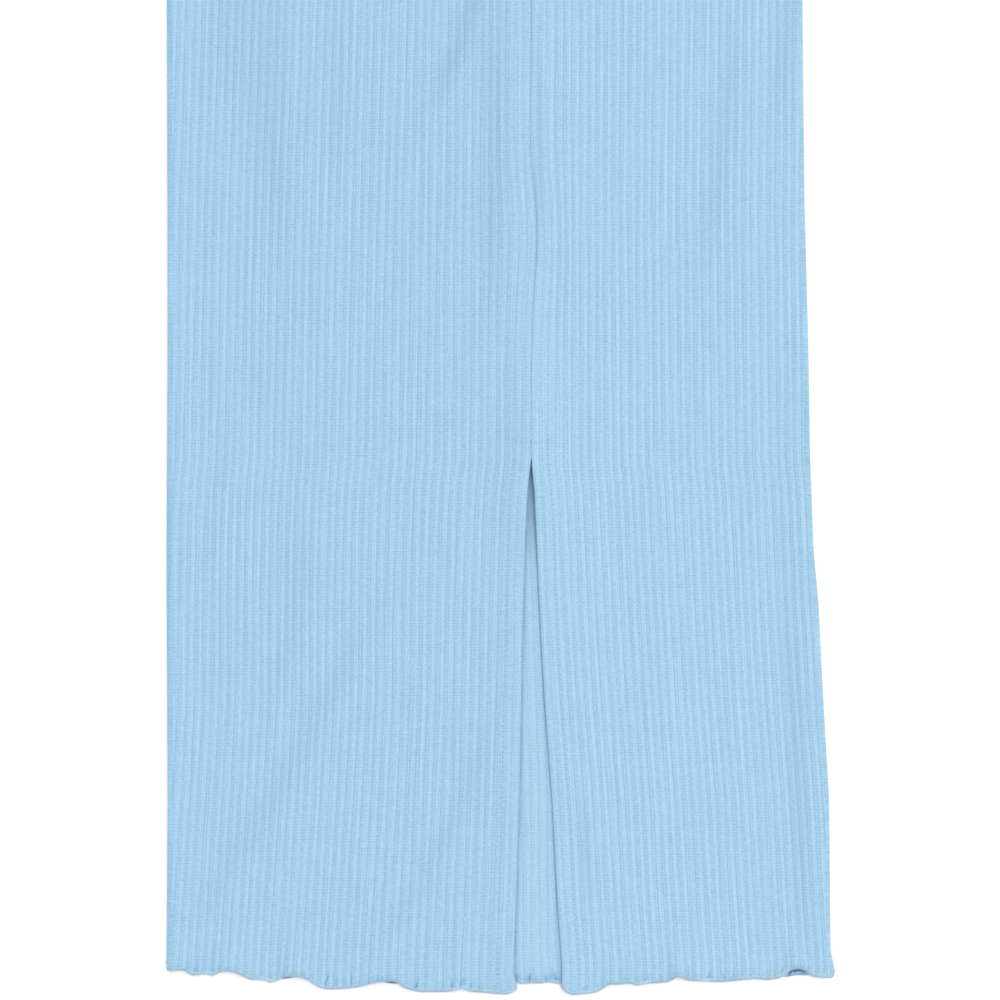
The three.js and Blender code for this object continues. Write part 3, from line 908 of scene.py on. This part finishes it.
def front_point(side, rib, bend, row, outside):
    """Points of a front panel on its outer face or its inside."""
    across, up, z, along, ribbed = front_inside(side, rib, bend, row)
    before = front_inside(side, rib, bend, row, -NUDGE)
    after = front_inside(side, rib, bend, row, NUDGE)
    run_x, run_z = after[0] - before[0], after[2] - before[2]
    run = np.hypot(run_x, run_z)
    out_x, out_z = -side * run_z / run, side * run_x / run
    pressed = fade(row, PRESS_REACH)
    allowance = ease((ALLOWANCE_WIDTH + ALLOWANCE_SLOPE - along) / ALLOWANCE_SLOPE)
    top = KNIT_WALL + ALLOWANCE_RISE * allowance
    top = top - (PRESS_OVER + ALLOWANCE_PRESS * allowance) * pressed
    low = FRONT_PRESS_UNDER * pressed
    middle = (top + low) / 2
    half = (top - low) / 2 * round_edge(row + 0 * along)
    # The seam is sewn shut, so only a shallow furrow shows; the slit's edges are thin folds.
    sewn = ease((up - SLIT_TOP + SEWN_REACH / 2) / SEWN_REACH)
    deep = FURROW + FURROW_ABOVE * ease((up - FURROW_DEEPENS) / FURROW_DEEPENING)
    furrow = 1 - deep * (1 - np.clip(along / FURROW_REACH, 0, 1)) ** 2
    thin = 1 - EDGE_THINNING * fade(along, EDGE_THINNING_REACH) * (1 - sewn)
    edge = (furrow * sewn + round_edge(along) * (1 - sewn)) * thin
    stitched = ease(1 - np.abs(along - STITCH_LINE) / STITCH_DENT_REACH) * (up < BAR_UP)
    lift = (middle + half - STITCH_DENT * stitched if outside else middle - half) * edge
    points = np.stack([across + out_x * lift, up, z + out_z * lift], 2)
    way_out = np.stack([out_x, 0 * out_x, out_z], 2) * (1 if outside else -1)
    stand = ribbed * ease(row / RIB_START) * (1 - 0.45 * allowance) * (1 if outside else 0)
    # Painted shade on the front: in its creases, over the whole left panel, in the hem's gathers and
    # in a band along the hem.
    shade = CREASE_SHADE * crease(across, up) * ease(row / 12) + (LEFT_SHADE if side < 0 else 0)
    shade = shade + GATHER_SHADE * gathered(FRONT_GATHERS, across, row)
    shade = shade + HEM_SHADE * fade(row - 1, 6)
    return {
        "points": points,
        "way_out": way_out,
        "rib": side * rib + 0 * z,
        "relief": stand * ease(along / 1.5),
        "shade": shade,
    }


def front_grid(side, count, outside):
    """The grid of a front panel's outer face or of its inside, from left to right."""
    if outside:
        rib = np.unique(np.concatenate([rib_columns(count), FURROW_PLACES]))
    else:
        rib = np.arange(0, count + 0.1, 0.5)
    turns = 6
    bend = np.concatenate([0 * rib, (np.arange(turns) + 1) / turns])
    rib = np.concatenate([rib, np.full(turns, count)])
    grid = front_point(side, rib[None, :], bend[None, :], CLOTH_ROWS[:, None], outside)
    if side < 0:
        grid = {key: values[:, ::-1] for key, values in grid.items()}
    return grid


front_knit = knit_material(
    "Blue rib knit", LIT_CREST_BLUE, SHADED_DIP_BLUE, relief=0.14, ribbed=0.66, courses=0.23, streaks=0.72,
    grain=1.5,
)
fronts, front_grids = {}, {}
for side, name, count in ((-1, "front_left_knit", LEFT_RIBS), (1, "front_right_knit", RIGHT_RIBS)):
    front_grids[side] = front_grid(side, count, True), front_grid(side, count, False)
    panel = cloth_wall(name, *front_grids[side], front_knit)
    fronts[side] = make_with(ribs, panel, rib_height=RIB_HEIGHT, knit=front_knit)

# Waistband: a flattened ring of the same knit, drawn in by the elastic inside it and folded
# over at the top. The panels' tops are sewn to its lower edge.
BAND_RIBS = 65
BAND_CORNER = 0.8
BAND_UNDERSIDE_COLUMNS = 130


def band_ring(up, depth):
    """The points round the band at one height, from its outside (0) to its hollow (1)."""
    half = side_fold(1, up)
    flat = half - BAND_CORNER
    top = 2 * BAND_WALL + BAND_HOLLOW
    rib = rib_columns(BAND_RIBS)
    over = (2 * rib / BAND_RIBS - 1) * flat
    turn = np.linspace(0, math.pi, 7)[1:-1]
    right_x = flat + BAND_CORNER * np.sin(turn)
    corner_z = top / 2 + top / 2 * np.cos(turn)
    under_rib = np.linspace(BAND_RIBS, 0, BAND_UNDERSIDE_COLUMNS)
    under = (2 * under_rib / BAND_RIBS - 1) * flat
    x = np.concatenate([over, right_x, under, -right_x])
    z = np.concatenate([top + 0 * over, corner_z, 0 * under, corner_z[::-1]])
    place = np.concatenate([rib, BAND_RIBS + 0 * turn, under_rib, 0 * turn])
    hollow_half = half - BAND_WALL - BAND_HOLLOW
    hollow_x = x * hollow_half / half
    hollow_z = BAND_WALL + BAND_HOLLOW * z / top
    raised = np.concatenate([1 + 0 * over, 0 * turn, 0 * under, 0 * turn])
    return {
        "points": np.stack([x + (hollow_x - x) * depth, up + 0 * x, z + (hollow_z - z) * depth], 1),
        "rib": place,
        "relief": raised * (1 if depth == 0 else 0),
    }


band_rows = [(up, 0) for up in np.linspace(PANEL_TOP, WAIST_TOP - BAND_WALL / 2, 14)]
fold_turns = np.linspace(0, math.pi, 9)[1:-1]
fold = [(WAIST_TOP - BAND_WALL / 2 * (1 - math.sin(a)), (1 - math.cos(a)) / 2) for a in fold_turns]
inner_rows = [(up, 1) for up, _ in band_rows[::-2]] + [(PANEL_TOP, 1)]
rings = [band_ring(up, depth) for up, depth in band_rows + fold + inner_rows]
around = len(rings[0]["rib"])
loops = len(rings)
band_faces = [
    [r * around + i, (r + 1) % loops * around + i, (r + 1) % loops * around + (i + 1) % around,
     r * around + (i + 1) % around]
    for r in range(loops) for i in range(around)
]
band_points = on_the_table(np.concatenate([ring["points"] for ring in rings]))
band_rib, band_relief = (np.concatenate([ring[key] for ring in rings]) for key in ("rib", "relief"))
band_mesh = bpy.data.meshes.new("waistband_knit")
band_mesh.from_pydata(band_points.tolist(), [], [face[::-1] for face in band_faces])
keep_on_points(band_mesh, "rib", band_rib)
keep_on_points(band_mesh, "relief", band_relief)
keep_on_points(band_mesh, "way_out", np.tile([0, 0, 1], (len(band_points), 1)))
lay_stitches(band_mesh, band_rib, band_points)
band_mesh.shade_smooth()
band_mesh.materials.append(front_knit)
band = new_piece("waistband_knit", band_mesh)
make_with(ribs, band, rib_height=RIB_HEIGHT, knit=front_knit)

# Overlocked hem: thread wrapped over the cut edge all the way round, close enough to stretch
# it into waves. Each wrap goes over the edge at a slant, from the face to the inside.
WRAP_SPACING = 0.7 * MM
WRAP_REACH = 2.0 * MM
WRAP_HALF_THICKNESS = 0.5 * MM
HEM_THREAD_RADIUS = 0.2 * MM
HEM_THREAD_SHADE = 0.14
THREAD_TWISTS = 900
TURN_SHARE = 0.25
PAST_EDGE = 3.6
LEVEL = 0.8

# Where the edge rolls over, its thread gets a painted highlight: across, half width, how pale.
HEM_THREAD_HIGHLIGHTS = [
    (-153, 10, 0.25),
    (-124, 5, 0.25),
    (-118, 7, 0.35),
    (-92, 7, 0.12),
    (-14, 9, 0.35),
    (1, 4, 0.2),
    (17, 4, 0.45),
    (58, 10, 0.2),
    (88, 7, 0.35),
    (121, 6, 0.4),
    (148, 6, 0.2),
    (166, 5, 0.3),
    (187, 6, 0.25),
]


def thread_tree(name, path, points_in_stitch):
    """Stitches of thread along a line. `path` gives one stitch's line from a share that goes
    from 0 to 1 along it: X runs along the line, Y into the cloth and Z out of its face."""
    sizes = ("Spacing", "Length", "Shift", "Reach", "Height", "Thread radius", "Unevenness")
    tree, given, result = new_tree(
        name, "GeometryNodeTree",
        [("Line", "Geometry"), *((size, "Float") for size in sizes), ("Seed", "Int"),
         ("Thread", "Material")],
        [("Stitches", "Geometry")],
    )
    line = add(tree, "GeometryNodeMeshToCurve", {"Mesh": given["Line"]})
    spaced = add(tree, "GeometryNodeResampleCurve", {
        "Curve": line.outputs[0], "Length": given["Spacing"],
    }, mode="LENGTH")

    dots = add(tree, "GeometryNodeMeshLine", {"Count": points_in_stitch})
    index = add(tree, "GeometryNodeInputIndex", {})
    share = step(tree, "DIVIDE", index.outputs[0], points_in_stitch - 1)
    place = add(tree, "ShaderNodeCombineXYZ", dict(zip("XYZ", path(tree, share, given))))
    drawn = add(tree, "GeometryNodeSetPosition", {
        "Geometry": dots.outputs[0], "Position": place.outputs[0],
    })
    strand = add(tree, "GeometryNodeMeshToCurve", {"Mesh": drawn.outputs[0]})
    ring = add(tree, "GeometryNodeCurvePrimitiveCircle", {
        "Resolution": 5, "Radius": given["Thread radius"],
    })
    thread = add(tree, "GeometryNodeCurveToMesh", {
        "Curve": strand.outputs[0], "Profile Curve": ring.outputs[0], "Fill Caps": True,
    })

    tangent = add(tree, "GeometryNodeInputTangent", {})
    along = add(tree, "FunctionNodeAlignRotationToVector", {"Vector": tangent.outputs[0]}, axis="X")
    facing = add(tree, "FunctionNodeAlignRotationToVector", {
        "Rotation": along.outputs[0], "Vector": kept(tree, "way_out", "FLOAT_VECTOR"),
    }, axis="Z", pivot_axis="X")
    sway = add(tree, "FunctionNodeRandomValue", {
        2: step(tree, "MULTIPLY", given["Unevenness"], -1), 3: given["Unevenness"],
        "Seed": given["Seed"],
    })
    swayed = add(tree, "ShaderNodeCombineXYZ", {"Z": sway.outputs[1]})
    turned = add(tree, "FunctionNodeRotateRotation", {
        "Rotation": facing.outputs[0], "Rotate By": swayed.outputs[0],
    }, rotation_space="LOCAL")
    sewn = add(tree, "GeometryNodeInstanceOnPoints", {
        "Points": spaced.outputs[0], "Instance": thread.outputs[0], "Rotation": turned.outputs[0],
    })
    real = add(tree, "GeometryNodeRealizeInstances", {0: sewn.outputs[0]})
    smooth = add(tree, "GeometryNodeSetShadeSmooth", {0: real.outputs[0]})
    dressed = add(tree, "GeometryNodeSetMaterial", {
        "Geometry": smooth.outputs[0], "Material": given["Thread"],
    })
    fill(tree, result, {0: dressed.outputs[0]})
    return tree


def wrap_path(tree, share, given):
    """A U over the edge: a leg on the face, the turn round the edge, a leg on the inside."""
    s = step(tree, "MULTIPLY_ADD", share, 2, -1)
    leg = step(tree, "SUBTRACT", step(tree, "ABSOLUTE", s), TURN_SHARE)
    on_cloth = step(tree, "MULTIPLY", step(tree, "DIVIDE", leg, 1 - TURN_SHARE), given["Reach"])
    past_edge = step(tree, "MULTIPLY", leg, step(tree, "MULTIPLY", given["Height"], PAST_EDGE))
    is_leg = step(tree, "GREATER_THAN", leg, 0)
    y = step(tree, "ADD", step(tree, "MULTIPLY", on_cloth, is_leg),
             step(tree, "MULTIPLY", past_edge, step(tree, "SUBTRACT", 1, is_leg)))
    x = step(tree, "MULTIPLY", s, step(tree, "MULTIPLY", given["Length"], -0.5))
    to_face = step(tree, "MULTIPLY", s, -1 / TURN_SHARE)
    to_face = step(tree, "MINIMUM", step(tree, "MAXIMUM", to_face, -1), 1)
    return x, y, step(tree, "MULTIPLY", to_face, given["Height"])


overlock = thread_tree("Overlocked edge", wrap_path, points_in_stitch=9)


def thread_material(name, color, twist_color):
    """Sewing thread: two strands twisted together, seen as fine slanted bands. It is darker
    where it lies in the same shade as the cloth, as painted shade, and paler as painted highlight
    where that shade is below zero."""
    material, tree, strand = new_material(name)
    place = add(tree, "ShaderNodeTexCoord", {})
    bands = add(tree, "ShaderNodeTexWave", {
        "Vector": place.outputs["Object"], "Scale": THREAD_TWISTS, "Distortion": 1.5,
    }, bands_direction="DIAGONAL")
    twisted = mix_colors(tree, bands.outputs["Fac"], twist_color, color)
    rough = add(tree, "ShaderNodeMapRange", {
        "Value": bands.outputs["Fac"], "To Min": 0.9, "To Max": 0.7,
    })
    fill(tree, strand, {
        "Base Color": in_shade(tree, twisted, clamp=False), "Roughness": rough.outputs[0],
        "Sheen Weight": 0.2, "Specular IOR Level": 0.3,
    })
    return material


hem_thread = thread_material("Pale overlock thread", (0.56, 0.68, 0.77, 1), (0.44, 0.6, 0.72, 1))


def thread_highlight(across):
    """How much painted highlight the hem's thread gets, where its edge rolls over."""
    return sum(pale * ease(1 - np.abs(across - middle) / half) for middle, half, pale in HEM_THREAD_HIGHLIGHTS)


def line_object(name, lines):
    """Open lines of points, each with the way out of the cloth beside it and its shade."""
    points, ways, depths, edges = [], [], [], []
    for line, way, depth in lines:
        start = len(points)
        points += line.tolist()
        ways += way.tolist()
        depths += (depth + np.zeros(len(line))).tolist()
        edges += [(start + i, start + i + 1) for i in range(len(line) - 1)]
    mesh = bpy.data.meshes.new(name)
    mesh.from_pydata(points, edges, [])
    keep_on_points(mesh, "way_out", ways)
    keep_on_points(mesh, "shade", depths)
    return new_piece(name, mesh)


def across_the_line(points, outward):
    """The way out of the cloth, made square to the line."""
    run = np.gradient(points, axis=0)
    run /= np.linalg.norm(run, axis=1, keepdims=True)
    square = outward - run * np.sum(outward * run, axis=1, keepdims=True)
    return square / np.linalg.norm(square, axis=1, keepdims=True)


def hem_edge(face, inside):
    """The middle of a panel's hem edge, from left to right, between face and inside."""
    over = face["points"][0]
    under = inside["points"][0]
    matched = np.stack([np.interp(over[:, 0], under[:, 0], under[:, k]) for k in range(3)], 1)
    middle = (over + matched) / 2
    apart = np.concatenate([[True], np.hypot(*np.diff(middle[:, :2], axis=0).T) > 0.05])
    return middle[apart], face["way_out"][0][apart]


hems = {}
for key, grids, seed in (
    ("front_left", front_grids[-1], 3), ("front_right", front_grids[1], 5), ("back", back_grids, 7),
):
    middle, outward = hem_edge(*grids)
    # The wraps stop where the edge turns down into the side seam.
    level = outward[:, 2] > LEVEL
    middle, outward = middle[level], outward[level]
    across = middle[:, 0]
    # The front's hem thread gets painted shade, less under its painted highlights; the back's gets the
    # painted shade of the gaps.
    depth = read_waves(HEM_GAPS, across, 2) if key == "back" else HEM_THREAD_SHADE - thread_highlight(across)
    line = on_the_table(middle), across_the_line(middle, outward), depth
    hems[key] = make_with(
        overlock, line_object(f"{key}_hem_overlock", [line]), spacing=WRAP_SPACING, length=1.5 * MM,
        reach=WRAP_REACH, height=WRAP_HALF_THICKNESS, thread_radius=HEM_THREAD_RADIUS,
        unevenness=0.25, seed=seed, thread=hem_thread,
    )

# Topstitching: one line of thread beside each edge of the slit, joined by a short bar above
# its head, which hold the folded seam allowance down.
STITCH_SPACING = 2.75 * MM
STITCHES_FOOT = 4
BAR_END = 1
STITCH_ARCH = 0.6
STITCH_TILT = 0.06


def stitch_path(tree, share, given):
    """One stitch: a low arch whose ends go down into the cloth."""
    s = step(tree, "MULTIPLY_ADD", share, 2, -1)
    x = step(tree, "MULTIPLY_ADD", s, step(tree, "MULTIPLY", given["Length"], 0.5), given["Shift"])
    arch = step(tree, "SUBTRACT", STITCH_ARCH, step(tree, "MULTIPLY", s, s))
    z = step(tree, "MULTIPLY", arch, given["Height"])
    return x, step(tree, "MULTIPLY", x, STITCH_TILT), z


def front_line(side, along, ups):
    """A line on a front panel's face, this far from the seam at each height."""
    rib = np.zeros((len(ups), 1))
    for _ in range(8):
        found = front_inside(side, rib, 0 * rib, ups[:, None])[3]
        rib = np.maximum(0, rib + (along[:, None] - found) / RIB_PITCH)
    grid = front_point(side, rib, 0 * rib, ups[:, None], True)
    points = grid["points"][:, 0]
    return on_the_table(points), across_the_line(points, grid["way_out"][:, 0]), 0


sewing_thread = thread_material("Blue sewing thread", (0.5, 0.7, 0.85, 1), (0.4, 0.6, 0.76, 1))
shaded_thread = thread_material("Shaded stitch ends", (0.27, 0.46, 0.62, 1), (0.23, 0.41, 0.57, 1))
stitch_lines = []
for side in (-1, 1):
    ups = np.linspace(STITCHES_FOOT, BAR_UP, 110)
    stitch_lines.append(front_line(side, 0 * ups + STITCH_LINE, ups))
    along = np.linspace(STITCH_LINE, BAR_END, 12)
    stitch_lines.append(front_line(side, along, 0 * along + BAR_UP))
topstitches = thread_tree("Topstitches", stitch_path, points_in_stitch=6)
topstitching = line_object("slit_topstitching", stitch_lines)
make_with(
    topstitches, topstitching, spacing=STITCH_SPACING, length=2 * MM, height=0.4 * MM,
    thread_radius=0.2 * MM, unevenness=0.06, seed=11, thread=sewing_thread,
)
# Between two stitches the thread goes down through the cloth: dark thread pieces there are painted
# shade.
stitch_hole_shade = line_object("slit_stitch_ends", stitch_lines)
make_with(
    topstitches, stitch_hole_shade, spacing=STITCH_SPACING, length=0.5 * MM, shift=STITCH_SPACING / 2,
    height=0.3 * MM, thread_radius=0.26 * MM, unevenness=0.06, seed=11, thread=shaded_thread,
)

# How the pieces hold together: each piece hangs from the one root body in place of the CAD
# part it stands for, which is hidden. The table also gives each sheet's size and area laid flat,
# what it lies on and its sewing.
for piece, node, flat, area, below, sewing in (
    (back, "back_panel", (0.369, 0.785), 0.268, ["floor"], [hems["back"]]),
    (fronts[-1], "front_left_panel", (0.201, 0.79), 0.148, ["back_panel_knit"], [hems["front_left"]]),
    (fronts[1], "front_right_panel", (0.167, 0.79), 0.116, ["back_panel_knit"], [hems["front_right"]]),
    (band, "waistband", (0.598, 0.035), None, ["floor"], []),
):
    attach(piece, "root")
    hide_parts(node)
for sewing in (*hems.values(), topstitching, stitch_hole_shade):
    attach(sewing, "root")

# Table: a plain white board, far larger than the skirt.
TABLE_REACH = 4
floor_mesh = bpy.data.meshes.new("floor")
corners = [(x * TABLE_REACH, y * TABLE_REACH, 0) for x, y in ((-1, -1), (1, -1), (1, 1), (-1, 1))]
floor_mesh.from_pydata(corners, [], [(0, 1, 2, 3)])
floor = new_piece("floor", floor_mesh)
board, board_tree, board_surface = new_material("White board")
board_place = add(board_tree, "ShaderNodeTexCoord", {}).outputs["Object"]
board_grain = add(board_tree, "ShaderNodeTexNoise", {"Vector": board_place, "Scale": 40})
board_tone = add(board_tree, "ShaderNodeMapRange", {
    "Value": board_grain.outputs["Fac"], "To Min": 0.955, "To Max": 0.97,
})
fill(board_tree, board_surface, {
    "Base Color": board_tone.outputs[0], "Roughness": 0.9, "Specular IOR Level": 0.1,
})
floor_mesh.materials.append(board)

# Light: an even white studio, with one broad soft lamp high up and a little to the right.
world = bpy.data.worlds.new("Studio")
world.use_nodes = True
fill(world.node_tree, world.node_tree.nodes["Background"], {"Color": (1, 1, 1, 1), "Strength": 0.78})
bpy.context.scene.world = world
lamp_data = bpy.data.lights.new("Soft lamp", "SUN")
lamp_data.angle = math.radians(42)
lamp_data.energy = 1.45
lamp = new_piece("Soft lamp", lamp_data)
lamp.location = (0.42, 0.24, 1.5)
lamp.rotation_euler = (-lamp.location).to_track_quat("-Z", "Y").to_euler()

# Camera: straight above the lower part of the skirt, as the photograph was taken.
FRAME_WIDTH = 0.55
LENS = 90
SENSOR = 36
FRAME_MIDDLE = (8.8, 266.75, 4.5)
camera_data = bpy.data.cameras.new("Camera")
camera_data.sensor_width = SENSOR
camera_data.lens = LENS
camera = new_piece("Camera", camera_data)
camera.location = on_the_table(FRAME_MIDDLE)
camera.location.z += FRAME_WIDTH * LENS / SENSOR
bpy.context.scene.camera = camera
bpy.context.scene.view_settings.view_transform = "Standard"
